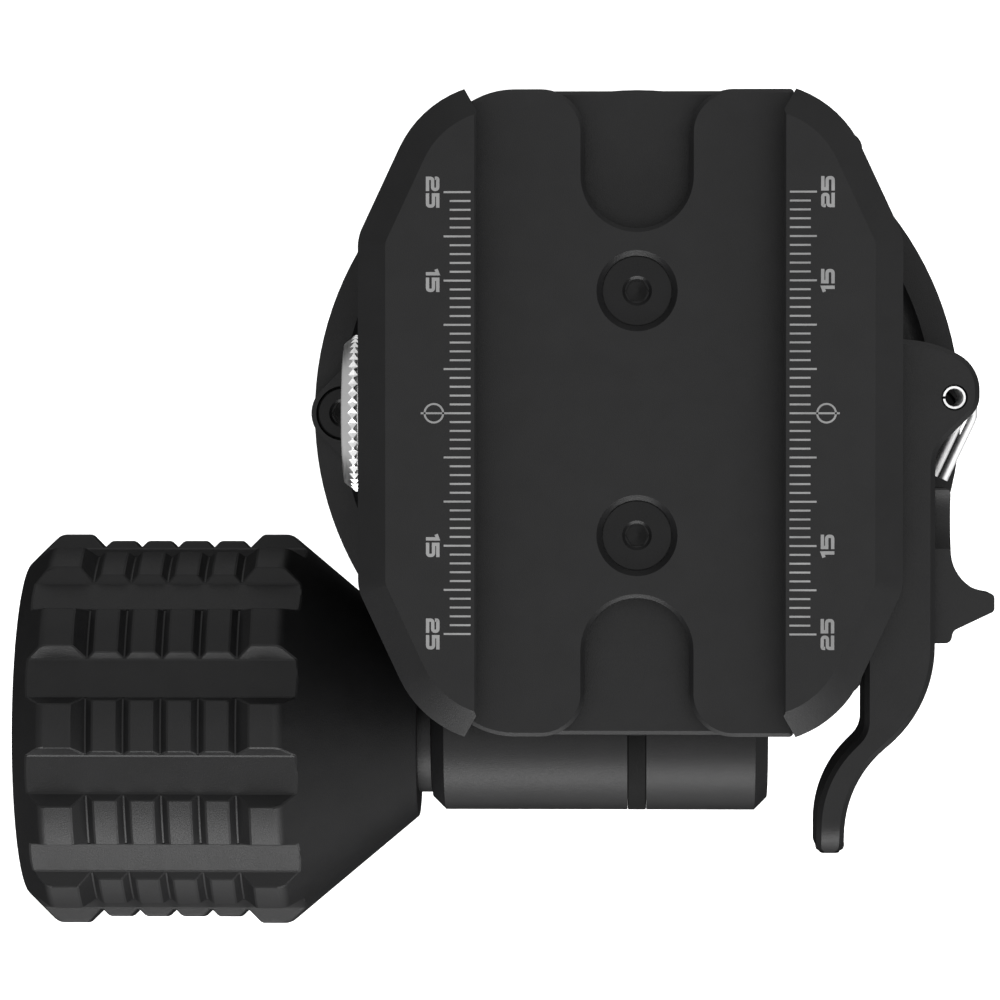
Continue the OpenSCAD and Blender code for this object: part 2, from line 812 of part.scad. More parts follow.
module thrust_collar() {
  color(black) ear_axis() difference() {
    rod_x(knob_tip_x, ear_left - ball_gap, thrust_r);
    rod_x(knob_tip_x - over, ear_left + over, stud_r);
  }
}

// Clamp plate with the fixed jaw
module clamp_screw_places() {
  for (s = [-1, 1])
    translate([0, s * clamp_screw_y, floor_z - clamp_head_depth]) children();
}

module bar_axis() {
  translate([0, 0, bar_z]) children();
}

module guide_places() {
  for (s = [-1, 1])
    translate([0, s * guide_y, bar_z]) children();
}

function jaw_outline(side) =
  let (right = [
    [0, -jaw_half, 0], [jaw_out - slant_run, -jaw_half, jaw_end_r], [jaw_out, -jaw_side, jaw_corner_r],
    [jaw_out, jaw_side, jaw_corner_r], [jaw_out - slant_run, jaw_half, jaw_end_r], [0, jaw_half, 0]])
  side > 0 ?
    [for (v = right) [jaw_mid + v[0], v[1], v[2]]] :
    [for (i = [len(right) - 1:-1:0]) [jaw_mid - right[i][0], right[i][1], right[i][2]]];

function plate_outline() = [
  [plate_right, -plate_half, plate_corner_r], [plate_right, plate_half, plate_corner_r],
  [plate_slant_x, plate_half, jaw_end_r - border_w], [plate_left, plate_side, jaw_corner_r],
  [plate_left, -plate_side, jaw_corner_r], [plate_slant_x, -plate_half, jaw_end_r - border_w]];

// The dovetail channel, from the lip on one side to beyond the other side
module channel(side, bottom) {
  lip = jaw_mid + side * lip_x;
  deep = lip + side * undercut;
  lip_z = jaw_z - lip_edge;
  rotate([90, 0, 0]) translate([0, 0, -far]) linear_extrude(2 * far) polygon([
    [lip + side * (lip_edge + over), jaw_z + over], [lip, lip_z], [deep, lip_z - undercut], [deep, bottom],
    [-side * far, bottom], [-side * far, jaw_z + over]]);
}

// One slice of an end relief, growing from grow_low to grow_high over its height
module relief_slice(height, grow_low, grow_high) {
  half = relief_w / 2;
  centre_y = relief_y + half;
  corner_x = half + relief_mouth_r;
  corner_y = plate_half - relief_mouth_r;
  translate([0, centre_y, 0]) cylinder(h = height, r1 = half + grow_low, r2 = half + grow_high);
  translate([0, far, 0]) rotate([90, 0, 0]) linear_extrude(far - centre_y) polygon([
    [-half - grow_low, 0], [half + grow_low, 0], [half + grow_high, height], [-half - grow_high, height]]);
  difference() {
    translate([-corner_x, corner_y, 0]) cube([2 * corner_x, far, height]);
    for (s = [-1, 1])
      translate([s * corner_x, corner_y, -eps])
        cylinder(h = height + 2 * eps, r1 = relief_mouth_r - grow_low, r2 = relief_mouth_r - grow_high);
  }
}

module relief() {
  mouth = relief_w + 2 * relief_mouth_r;
  side = edge_chamfer * sqrt(2);
  translate([0, 0, floor_z - relief_depth]) relief_slice(relief_depth + eps, 0, 0);
  translate([0, 0, floor_z - edge_chamfer]) relief_slice(edge_chamfer, 0, edge_chamfer);
  translate([0, plate_half, floor_z - relief_depth]) rotate([45, 0, 0])
    cube([mouth, side, side], center = true);
}

module clamp_base() {
  grip_x = plate_right - spring_pocket_len - guide_grip;
  color(black) difference() {
    union() {
      chamfered(plate_outline(), clamp_z, floor_z, edge_chamfer, edge_chamfer);
      intersection() {
        translate([0, 0, floor_z - over]) linear_extrude(flange_z - floor_z + over + merge)
          polygon(rounded(plate_outline()));
        translate([-far, -far, 0]) cube([far + lip_left - undercut / 2, 2 * far, far]);
      }
      difference() {
        chamfered(jaw_outline(-1), flange_z, jaw_z, border_w, border_h);
        translate([lip_left + undercut, -far, 0]) cube([far, 2 * far, far]);
      }
    }
    channel(-1, floor_z);
    relief();
    mirror([0, 1, 0]) relief();
    translate([0, 0, clamp_z - eps]) cylinder(h = spigot_h + merge, r = spigot_r + run_gap);
    clamp_screw_places() countersunk_room(clamp_head_r, clamp_shank_r, clamp_screw_len, 0);
    clamp_screw_places() translate([0, 0, -head_edge]) cylinder(h = far, r = clamp_head_r + clamp_head_gap);
    clamp_screw_places() translate([0, 0, clamp_head_depth - clamp_head_chamfer])
      cylinder(h = clamp_head_chamfer + eps, r1 = clamp_head_r + clamp_head_gap,
        r2 = clamp_head_r + clamp_head_gap + clamp_head_chamfer);
    bar_axis() rod_x(plate_left - over, plate_right + over, bar_r + run_gap);
    guide_places() rod_x(grip_x, plate_right + over, guide_r);
    guide_places() rod_x(plate_right - spring_pocket_len, plate_right + over, spring_pocket_r);
  }
}

module clamp_screws() {
  color(dark_steel) clamp_screw_places() countersunk(clamp_head_r, clamp_shank_r, clamp_screw_len);
}

module jaw_guide_pins() {
  grip_x = plate_right - spring_pocket_len - guide_grip;
  color(steel) guide_places() rod_x(grip_x, jaw_body_right - guide_end_gap, guide_r);
}

module jaw_springs() {
  color(steel) guide_places() difference() {
    rod_x(plate_right - spring_pocket_len, plate_right + spring_proud, guide_r + spring_wall);
    rod_x(0, far, guide_r + free_gap);
  }
}

// Moving jaw
module wear_block(grow) {
  translate([wear_x - wear_t, wear_front, wear_low])
    cube([wear_t + grow, wear_back - wear_front, wear_high - wear_low]);
}

module moving_jaw() {
  body_z = clamp_z + free_gap;
  pocket_front = wear_front - pocket_margin;
  pocket_back = wear_back + pocket_margin;
  body = [
    [jaw_body_x, -jaw_body_half, 0], [jaw_body_right, -jaw_body_half, jaw_body_round],
    [jaw_body_right, jaw_body_half, jaw_body_round], [jaw_body_x, jaw_body_half, 0]];
  color(black) difference() {
    union() {
      difference() {
        chamfered(jaw_outline(1), flange_z, jaw_z, border_w, border_h);
        translate([-far, -far, 0]) cube([far + lip_right - undercut, 2 * far, far]);
      }
      translate([0, 0, body_z]) linear_extrude(flange_z - body_z + merge) polygon(rounded(body));
    }
    channel(1, floor_z - free_gap);
    translate([wear_x, pocket_front, 0]) cube([far, pocket_back - pocket_front, flange_z]);
    wear_block(eps);
    bar_axis() rod_x(0, far, bar_way_r);
    guide_places() rod_x(0, jaw_body_right + over, guide_r + bush_wall);
  }
}

module wear_plate() {
  color(steel) difference() {
    wear_block(0);
    bar_axis() rod_x(0, far, bar_way_r);
  }
}

module jaw_bushes() {
  color(bronze) guide_places() difference() {
    rod_x(jaw_body_x, jaw_body_right, guide_r + bush_wall);
    rod_x(0, far, guide_r + run_gap);
  }
}

// Thumbwheel and draw bar
module thumbwheel() {
  wheel_end = wheel_x + wheel_t;
  teeth = [for (i = [0:2 * wheel_teeth - 1])
    let (r = wheel_r - (i % 2) * wheel_knurl)
    r * [cos(i * 180 / wheel_teeth), sin(i * 180 / wheel_teeth)]];
  color(steel) bar_axis() difference() {
    intersection() {
      translate([wheel_x, 0, 0]) rotate([0, 90, 0]) linear_extrude(wheel_t) polygon(teeth);
      turned([
        [wheel_x, 0], [wheel_x, wheel_r - wheel_bevel_r], [wheel_x + wheel_bevel_x, wheel_r + eps],
        [wheel_end - wheel_edge_x, wheel_r + eps], [wheel_end, wheel_r - wheel_edge_r], [wheel_end, 0]]);
    }
    rod_x(wheel_x - over, wheel_end + over, bar_thread_r + run_gap);
  }
}

module wheel_washer() {
  color(bronze) bar_axis() difference() {
    rod_x(wheel_x + wheel_t + ball_gap, plate_left, washer_r);
    rod_x(-far, 0, bar_thread_r + free_gap);
  }
}

module draw_bar() {
  neck_x = bar_flat_x - bar_blend;
  neck_right = pivot_x - eye_neck;
  color(dark_steel) difference() {
    union() {
      bar_axis() rod_x(wheel_x + bar_end_gap, bar_thread_end, bar_thread_r);
      bar_axis() rod_x(bar_thread_end - eps, bar_flat_x, bar_r);
      translate([0, 0, bar_z - eye_half]) linear_extrude(2 * eye_half) {
        translate([neck_x, -bar_neck_half]) square([neck_right - neck_x, 2 * bar_neck_half]);
        polygon([
          [bar_wide_x, -bar_neck_half], [neck_right, -bar_neck_half],
          [pivot_x + eye_r * cos(-45), pivot_y + eye_r * sin(-45)],
          [pivot_x + eye_r * cos(120), pivot_y + eye_r * sin(120)], [bar_wide_x, bar_neck_half]]);
        translate([pivot_x, pivot_y]) circle(r = eye_r);
      }
    }
    translate([pivot_x, pivot_y, 0]) cylinder(h = far, r = pivot_r);
  }
}

module lever_pivot_pin() {
  color(steel) translate([pivot_x, pivot_y, lever_bottom + pin_recess])
    cylinder(h = lever_top - lever_bottom - lever_roof - 2 * pin_recess, r = pivot_r);
}

// Lever
function lever_outline() = [
  [tip_in, handle_end, tip_end_round], [tip_out, handle_end, tip_end_round], [tip_out, bend_low, bend_low_r],
  [handle_out, bend_high, bend_high_r], [handle_out, lug_neck, neck_round],
  [lug_right, lug_neck + lug_slope * (lug_right - handle_out), lug_round],
  [lug_right, lug_side, lug_top_round], [crown_x, crown_y, crown_round], [pivot_x - over, lug_back, back_round],
  [handle_in, pivot_y, back_round], [handle_in, grip_top, grip_round],
  [grip_in, grip_top - 2 * grip_step, grip_round], [grip_in, bend_inner, bend_inner_r],
  [tip_in, bend_inner - (grip_in - tip_in), bend_tip_r]];

// The cam: its reach towards the jaw falls evenly as the lever swings open
function cam_point(a) =
  let (reach = cam_far + cam_slope * (a - (180 - lever_swing)) * PI / 180)
  let (y = pivot_y + reach * sin(a) + cam_slope * cos(a))
  [pivot_x + reach * cos(a) - cam_slope * sin(a), min(y, lug_back)];

function cam_outline() = concat(
  [for (i = [0:cam_steps]) cam_point(180 - lever_swing + lever_swing * i / cam_steps)],
  [[handle_in + over, lug_neck], [handle_in + cam_root, lug_neck], [pivot_x + cam_root / 2, pivot_y]]);

// What rolls off the top of the fingertip
module tip_roll_cut() {
  translate([0, handle_end, lever_top - tip_roll]) difference() {
    translate([tip_in - over, -over, 0]) cube([tip_w + 2 * over, tip_roll + over, tip_roll + over]);
    translate([0, tip_roll, 0]) rod_x(tip_in - 2 * over, tip_out + 2 * over, tip_roll);
  }
}

module lever() {
  slot_front = latch_foot - latch_slot_gap;
  lever_h = lever_top - lever_bottom;
  color(black) difference() {
    translate([0, 0, lever_bottom]) linear_extrude(lever_h) {
      polygon(rounded(lever_outline()));
      polygon(cam_outline());
    }
    translate([0, bar_slot_front, bar_z - bar_slot_half])
      cube([bar_slot_right, slot_end - bar_slot_front, 2 * bar_slot_half]);
    translate([0, 0, latch_slot_bottom]) linear_extrude(latch_slot_top - latch_slot_bottom) polygon([
      [latch_slot_left, slot_front], [far, slot_front], [far, slot_end], [bar_slot_right, slot_end],
      [bar_slot_right, over], [latch_slot_left, 0]]);
    translate([pivot_x, pivot_y, lever_bottom - over])
      cylinder(h = lever_h - lever_roof + over, r = pivot_r + run_gap);
    tip_roll_cut();
    latch_axis() translate([0, 0, lever_bottom - over]) cylinder(h = far, r = latch_pin_r);
    latch_axis() translate([0, 0, lever_top - pin_mouth_depth]) cylinder(h = far, r = latch_pin_r + pin_mouth);
  }
}

// Latch with its pin and springs
module latch_axis() {
  translate([latch_x, latch_y, 0]) children();
}

module latch_shape() {
  polygon(rounded([
    [latch_left, latch_foot, latch_round], [latch_side, latch_foot, latch_round],
    [heel_x, heel_y, latch_round], [latch_tip, finger_top - finger_w, finger_round],
    [latch_tip, finger_top - finger_fall, finger_round], [latch_side, finger_top, finger_curve],
    [latch_side, latch_shoulder, latch_round], [latch_left, latch_shoulder, 0]]));
  polygon([
    [latch_left, latch_shoulder - over], [latch_arm_right, latch_shoulder - over],
    [latch_arm_right, latch_y - 2.3 * latch_boss_r], [latch_x + latch_boss_r / 3, latch_y - latch_boss_r],
    [latch_x, latch_y], [latch_x - 0.85 * latch_boss_r, latch_y - latch_boss_r / 3],
    [latch_left, latch_y - 1.8 * latch_boss_r]]);
  translate([latch_x, latch_y]) circle(r = latch_boss_r);
  translate([latch_x, latch_y]) polygon(nose_tip);
}

module latch() {
  color(black) difference() {
    translate([0, 0, latch_bottom]) linear_extrude(latch_top - latch_bottom) latch_shape();
    latch_axis() cylinder(h = far, r = latch_pin_r + run_gap);
    latch_axis() translate([0, 0, bar_z - coil_pocket_half])
      cylinder(h = 2 * coil_pocket_half, r = coil_r + wire_d / 2 + coil_room);
    translate([pivot_x, pivot_y, 0]) cylinder(h = far, r = eye_r + cam_gap);
    translate([0, scoop_y, latch_top + scoop_r - scoop_depth])
      rod_x(latch_left - over, latch_side + over, scoop_r);
  }
}

module latch_pin() {
  bottom = lever_bottom + pin_sink;
  color(steel) latch_axis() difference() {
    translate([0, 0, bottom]) cylinder(h = lever_top - pin_sink - bottom, r = latch_pin_r);
    translate([0, 0, bottom - over]) cylinder(h = far, r = latch_pin_r - latch_pin_wall);
    translate([-far, -pin_slit / 2, bottom - over]) cube([far, pin_slit, far]);
  }
}

// The two latch springs: each has a short end, one turn round the pin and a leg beside the latch arm.
// A place on a leg is given by its distance from the pin axis and its way along the leg.
function leg_place(out, way, z) = [
  latch_x + out * cos(leg_turn) - way * sin(leg_turn), latch_y - out * sin(leg_turn) - way * cos(leg_turn), z];
function coil_path(start, steps) = concat(
  [leg_place(coil_r, -wire_end, start)],
  [for (i = [0:steps])
    let (a = -leg_turn - 360 * i / coil_rings)
    [latch_x + coil_r * cos(a), latch_y + coil_r * sin(a), start + coil_pitch * i / coil_rings]]);
function lower_wire() =
  let (z = coil_low + coil_pitch)
  concat(coil_path(coil_low, coil_rings), [for (k = [1:3]) leg_place(coil_r, leg_len * k / 3, z)]);
function upper_wire() =
  let (z = coil_high + coil_pitch)
  let (step = leg_offset - coil_r)
  concat(coil_path(coil_high, coil_rings - 1), [
    leg_place(coil_r + step / 3, -wire_d / 3, z), leg_place(coil_r + 0.8 * step, wire_d / 2, z),
    leg_place(leg_offset, 1.4 * wire_d, z), leg_place(leg_offset, leg_len / 2, z),
    leg_place(leg_offset, leg_len, z)]);
function wire_way(path, i) = unit(path[min(i + 1, len(path) - 1)] - path[max(i - 1, 0)]);
function wire_ring(path, i) =
  let (side = unit(cross(wire_way(path, i), [0, 0, 1])))
  let (up = cross(side, wire_way(path, i)))
  [for (k = [0:wire_sides - 1])
    let (a = 360 * k / wire_sides)
    path[i] + wire_d / 2 * (cos(a) * side + sin(a) * up)];
function wire_gap(path) = min([for (i = [0:len(path) - 1]) for (j = [i + coil_rings - 2:1:len(path) - 1])
  norm(path[i] - path[j]) - wire_d]);
echo(least_gaps_of_latch_springs = [wire_gap(lower_wire()), wire_gap(upper_wire())]);

module wire(path) {
  last = len(path) - 1;
  n = wire_sides;
  polyhedron(
    points = [for (i = [0:last]) each wire_ring(path, i)],
    faces = concat(
      [for (k = [1:n - 2]) [0, k, k + 1]],
      [for (k = [1:n - 2]) [last * n, last * n + k + 1, last * n + k]],
      [for (i = [0:last - 1]) for (k = [0:n - 1]) each [
        [i * n + k, (i + 1) * n + k, (i + 1) * n + (k + 1) % n],
        [i * n + k, (i + 1) * n + (k + 1) % n, i * n + (k + 1) % n]]])
  );
}

module latch_springs() {
  color(steel) {
    wire(lower_wire());
    wire(upper_wire());
  }
}

base_plate();
thread_insert();
ball_stem();
base_screws();
bearing_cup();
bearing_ring();
housing();
upper_seat();
top_cap();
cap_screws();
slot_seal();
stud_nut();
clamp_base();
clamp_screws();
jaw_guide_pins();
jaw_springs();
knob();
knob_cap();
clamp_stud();
knob_set_screw();
thrust_collar();
thumbwheel();
wheel_washer();
draw_bar();
lever_pivot_pin();
moving_jaw();
jaw_bushes();
wear_plate();
lever();
latch_pin();
latch_springs();
latch();
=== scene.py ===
"""Looks of the ball head: finishes, engraved scales, knurled thumbwheel, wire springs, studio and camera.

The scene is in metres; the values below are in millimetres, unless they say otherwise.
"""

import json
import math

import bmesh
import bpy
from mathutils import Matrix, Vector


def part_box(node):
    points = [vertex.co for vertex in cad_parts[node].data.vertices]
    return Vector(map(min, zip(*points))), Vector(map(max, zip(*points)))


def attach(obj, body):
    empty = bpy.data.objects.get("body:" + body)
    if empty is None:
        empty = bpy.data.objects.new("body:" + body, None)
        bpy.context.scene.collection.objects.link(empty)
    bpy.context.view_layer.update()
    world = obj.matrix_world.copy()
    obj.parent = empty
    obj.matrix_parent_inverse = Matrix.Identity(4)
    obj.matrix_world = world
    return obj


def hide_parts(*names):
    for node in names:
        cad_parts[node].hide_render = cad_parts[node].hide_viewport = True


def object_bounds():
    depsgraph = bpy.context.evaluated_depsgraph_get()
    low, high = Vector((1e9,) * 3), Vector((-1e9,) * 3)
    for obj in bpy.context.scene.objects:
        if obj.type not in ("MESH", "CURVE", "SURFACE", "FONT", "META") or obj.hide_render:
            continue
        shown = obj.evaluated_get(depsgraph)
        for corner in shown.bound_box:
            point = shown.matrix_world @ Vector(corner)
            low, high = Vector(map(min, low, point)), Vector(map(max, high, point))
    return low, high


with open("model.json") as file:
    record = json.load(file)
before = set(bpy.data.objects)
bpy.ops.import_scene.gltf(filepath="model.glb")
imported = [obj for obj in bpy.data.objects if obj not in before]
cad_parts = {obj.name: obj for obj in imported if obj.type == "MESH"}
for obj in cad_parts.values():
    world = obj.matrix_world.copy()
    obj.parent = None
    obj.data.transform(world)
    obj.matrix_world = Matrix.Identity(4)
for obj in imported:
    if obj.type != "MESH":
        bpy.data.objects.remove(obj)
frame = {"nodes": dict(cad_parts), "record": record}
cad_low, cad_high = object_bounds()

MM = 0.001
NODES = frame["nodes"]

# Engraved scales on the jaws: insets are distances from the top edge of the lip, away from the channel
LIP_TOP = {"fixed": -18.42, "moving": 16.82}
SCALE_END = 25
LONG_EVERY = 5
LINE_W = 0.22
MARK_H = 0.02
LINE_INSET = 0.41
SHORT_LINE = 2.36
LONG_LINE = 3.05
ZERO_LINE = 5.65
ZERO_RING_R = 1.05
ZERO_RING_INSET = 4.57
NUMBERS = (25, 15, -15, -25)
DIGIT_INSET = 4.7
DIGIT_H = 1.54
DIGIT_W = 1.64
ONE_W = 0.7
DIGIT_GAP = 0.24
DIGIT_STROKE = 0.38
DIGIT_CORNER = 0.3
TWO_HOOK = 0.66
FIVE_WAIST = 0.56
CORNER_STEPS = 6
RING_STEPS = 48
SAME_POINT = 0.001

# Thumbwheel: ridges round its rim, with V-shaped notches across them, and a dished hub
WHEEL_TEETH = 48
WHEEL_BORE = 2.54
WHEEL_HUB = 5.5
WHEEL_EDGE = 0.4
WHEEL_CHAMFER = 0.1
HUB_DEPTH = 0.5
HUB_ROUND = (0.3, 0.25)
RIDGE_FIRST = 1.37
RIDGE_PITCH = 1.17
RIDGE_FLAT = 0.1
RIDGE_SLOPE = 0.8
NOTCH_DEPTH = 0.36
NOTCH_HALF = 0.42
NOTCH_STEPS = 4

# Latch springs: the same wires as the CAD solids
SPRING_AXIS = (36.3, 1.8)
SPRING_COIL_R = 2.1
SPRING_WIRE = 1.0
SPRING_PITCH = 1.3
SPRING_RINGS = 12
SPRING_LOW = 63.05
SPRING_HIGH = 65.65
SPRING_END = 0.7
SPRING_SMOOTH = 6
WIRE_SIDES = 6
LEG_OUT = 3.16
LEG_TURN = math.radians(25.2)
LEG_LEN = 8.95

# Bevelled and smoothed edges: the pin hole as (x, y, radius), the rolled tip as (y, z), angles in radians
LEVER_EDGE = 0.57
KNOB_EDGE = 0.14
PIN_HOLE = (36.3, 1.8, 2.5)
TIP = (-46.7, 67)
TOP_DEPTH = 0.05
SMOOTHED = ("clamp_base", "moving_jaw", "lever", "knob", "top_cap")
SMOOTH_UNDER = math.radians(15)
ROUND_OVER = math.radians(40)
FLAT_UNDER = math.radians(0.5)

# Finishes: most values of a noise lie between the first two, and scales of noise are per metre
NOISE = (0.3, 0.7)
CLOUD_SCALE = 260
BEAD_SCALE = 7000
CLOUD_TINT = (0.86, 1.14)
BEAD_ROUGHNESS = 0.09
BEAD_HEIGHT = 0.03
METAL_CLOUD_SCALE = 300
METAL_TINT = 0.92
LINE_ROUGHNESS = (-0.05, 0.07)
TOOL_LINE_HEIGHT = 0.02

# View of the photograph: a camera straight above the ball axis, its picture centre a little left and in
# front; the clip distances are in metres
PHOTO_SIZE = 1000
FOCAL_PX = 4712
ABOVE_BALL_PX = (637.0, 413.2)
CAMERA_ABOVE_JAWS = 533
SENSOR = 36
CLIP = (0.01, 20)

# Light of the surround, each as (from, to, strength at the first, at the second): by height, counted
# higher towards the front and back, and by the way to the right
BY_HEIGHT = (-0.16, 0.05, 0.03, 0.92)
FRONT_LIFT = 0.8
BY_SIDE = (-0.9, -0.1, 0.55, 1)

# Soft lights, each as (place, target, width, height) in metres and its watts, and the floor
TOP_LIGHT = ((0.2, -0.05, 0.9), (0.02, 0, 0.05), 0.9, 0.7, 1.3)
FRONT_LIGHT = ((0.0, -0.85, 0.36), (0, 0, 0.05), 0.9, 0.45, 10.0)
FLOOR_HALF = 3000
FLOOR_GREY = 0.9
FLOOR_GLOW = 0.75


def new_object(name, vertices, faces, material, smooth=False):
    """A mesh object from points in millimetres."""
    mesh = bpy.data.meshes.new(name)
    mesh.from_pydata([Vector(v) * MM for v in vertices], [], faces)
    solid = bmesh.new()
    solid.from_mesh(mesh)
    bmesh.ops.recalc_face_normals(solid, faces=solid.faces)
    solid.to_mesh(mesh)
    solid.free()
    mesh.materials.append(material)
    for polygon in mesh.polygons:
        polygon.use_smooth = smooth
    obj = bpy.data.objects.new(name, mesh)
    bpy.context.scene.collection.objects.link(obj)
    return obj


class Builder:
    """Collects closed solids into one mesh."""

    def __init__(self):
        self.vertices = []
        self.faces = []

    def stroke(self, line, width, low, high):
        """A flat bar along a line of points."""
        line = [Vector(p) for p in line]
        start = len(self.vertices)
        last = len(line) - 1
        for i, point in enumerate(line):
            ways = [(b - a).normalized() for a, b in zip(line[max(i - 1, 0):i + 1], line[max(i, 1):i + 2])]
            ways = ways or [(line[1] - line[0]).normalized()]
            across = Vector((0, 0))
            for way in ways:
                across += Vector((-way.y, way.x))
            across.normalize()
            across *= width / 2 / across.dot(Vector((-ways[0].y, ways[0].x)))
            for z in (low, high):
                self.vertices += [(*(point + across), z), (*(point - across), z)]
        for i in range(last):
            a, b = start + 4 * i, start + 4 * i + 4
            self.faces += [[a + 3, b + 3, b + 2, a + 2], [a, b, b + 1, a + 1]]
            self.faces += [[a + 2, b + 2, b, a], [a + 1, b + 1, b + 3, a + 3]]
        end = start + 4 * last
        self.faces += [[start, start + 1, start + 3, start + 2], [end + 2, end + 3, end + 1, end]]

    def ring(self, centre, inner, outer, low, high):
        """A flat ring."""
        start = len(self.vertices)
        for i in range(RING_STEPS):
            angle = 2 * math.pi * i / RING_STEPS
            c, s = math.cos(angle), math.sin(angle)
            for radius, z in ((outer, low), (outer, high), (inner, high), (inner, low)):
                self.vertices.append((centre[0] + radius * c, centre[1] + radius * s, z))
        for i in range(RING_STEPS):
            here, there = start + 4 * i, start + 4 * ((i + 1) % RING_STEPS)
            for k in range(4):
                m = (k + 1) % 4
                self.faces.append([here + k, there + k, there + m, here + m])


def node_tree(name):
    """A new material with its nodes, links and shader."""
    material = bpy.data.materials.new(name)
    material.use_nodes = True
    nodes = material.node_tree.nodes
    return material, nodes, material.node_tree.links, nodes["Principled BSDF"]


def noise(nodes, links, scale, detail, coordinates, roughness=0.5):
    """The values of a noise texture."""
    texture = nodes.new("ShaderNodeTexNoise")
    texture.inputs["Scale"].default_value = scale
    texture.inputs["Detail"].default_value = detail
    texture.inputs["Roughness"].default_value = roughness
    links.new(coordinates, texture.inputs["Vector"])
    return texture.outputs["Fac"]


def spread(nodes, links, value, limits):
    """Maps a value between the first two limits to the other two."""
    node = nodes.new("ShaderNodeMapRange")
    for socket, limit in zip(("From Min", "From Max", "To Min", "To Max"), limits):
        node.inputs[socket].default_value = limit
    links.new(value, node.inputs["Value"])
    return node.outputs["Result"]


def calculate(nodes, links, operation, a, b):
    """A sum or product of a socket with a number or another socket."""
    node = nodes.new("ShaderNodeMath")
    node.operation = operation
    links.new(a, node.inputs[0])
    if isinstance(b, float):
        node.inputs[1].default_value = b
    else:
        links.new(b, node.inputs[1])
    return node.outputs["Value"]


def tint(nodes, links, value, dark, light):
    """A colour between dark and light, by value."""
    mix = nodes.new("ShaderNodeMix")
    mix.data_type = "RGBA"
    mix.inputs["A"].default_value = (*dark, 1)
    mix.inputs["B"].default_value = (*light, 1)
    links.new(value, mix.inputs["Factor"])
    return mix.outputs["Result"]


def bump(nodes, links, height, strength, distance, shader):
    """Lets a value raise the surface, by distance in millimetres."""
    node = nodes.new("ShaderNodeBump")
    node.inputs["Strength"].default_value = strength
    node.inputs["Distance"].default_value = distance * MM
    links.new(height, node.inputs["Height"])
    links.new(node.outputs["Normal"], shader.inputs["Normal"])


def blasted(name, grey, roughness, gloss, grain=0.35):
    """Bead-blasted aluminium, or another fine matte finish: gloss is how much its surface mirrors."""
    material, nodes, links, shader = node_tree(name)
    shader.inputs["Specular IOR Level"].default_value = gloss
    place = nodes.new("ShaderNodeTexCoord").outputs["Object"]
    cloud = noise(nodes, links, CLOUD_SCALE, 3, place)
    beads = noise(nodes, links, BEAD_SCALE, 2, place, 0.7)
    dark, light = [[share * c for c in grey] for share in CLOUD_TINT]
    shade = spread(nodes, links, cloud, (*NOISE, 0, 1))
    links.new(tint(nodes, links, shade, dark, light), shader.inputs["Base Color"])
    limits = (*NOISE, roughness - BEAD_ROUGHNESS, roughness + BEAD_ROUGHNESS)
    links.new(spread(nodes, links, beads, limits), shader.inputs["Roughness"])
    bump(nodes, links, beads, grain, BEAD_HEIGHT, shader)
    return material


def turned_metal(name, colour, roughness, stretch, strength=0.12):
    """Bright metal with fine tool lines: stretch is the scale of the lines along X, Y and Z."""
    material, nodes, links, shader = node_tree(name)
    place = nodes.new("ShaderNodeTexCoord").outputs["Object"]
    mapping = nodes.new("ShaderNodeMapping")
    mapping.inputs["Scale"].default_value = stretch
    links.new(place, mapping.inputs["Vector"])
    lines = noise(nodes, links, 1, 2, mapping.outputs["Vector"], 0.6)
    cloud = noise(nodes, links, METAL_CLOUD_SCALE, 2, place)
    dark = [METAL_TINT * c for c in colour]
    shade = spread(nodes, links, cloud, (*NOISE, 0, 1))
    links.new(tint(nodes, links, shade, dark, colour), shader.inputs["Base Color"])
    limits = (*NOISE, *(roughness + change for change in LINE_ROUGHNESS))
    links.new(spread(nodes, links, lines, limits), shader.inputs["Roughness"])
    shader.inputs["Metallic"].default_value = 1
    bump(nodes, links, lines, strength, TOOL_LINE_HEIGHT, shader)
    return material


anodised = blasted("black_anodised", (0.0060, 0.0060, 0.0063), 0.46, 0.26, 0.8)
knob_finish = blasted("black_anodised_knob", (0.0060, 0.0060, 0.0063), 0.43, 0.25, 0.9)
engraved = blasted("engraved_grey", (0.24, 0.24, 0.24), 0.6, 0.25, 0.2)
black_oxide = blasted("black_oxide", (0.0045, 0.0045, 0.0047), 0.32, 0.16, 0.15)
rubber = blasted("rubber", (0.0050, 0.0050, 0.0050), 0.72, 0.1, 0.5)
liner = blasted("liner", (0.12, 0.12, 0.115), 0.55, 0.4, 0.25)
ball_finish = turned_metal("ball_anodised", (0.05, 0.05, 0.053), 0.3, (300, 300, 6000), 0.08)
stainless = turned_metal("stainless", (0.90, 0.90, 0.90), 0.36, (5000, 400, 400))
wire_steel = turned_metal("wire_steel", (0.96, 0.96, 0.96), 0.55, (3000, 3000, 3000), 0.05)
bronze = turned_metal("bronze", (0.40, 0.27, 0.13), 0.34, (4000, 400, 400))

FINISH = {
    "black_anodised": anodised,
    "stainless": stainless,
    "black_steel": black_oxide,
    "ball_finish": ball_finish,
    "bronze": bronze,
    "rubber": rubber,
    "liner": liner,
}
OWN_FINISH = {"knob": knob_finish, "latch_pin": wire_steel}


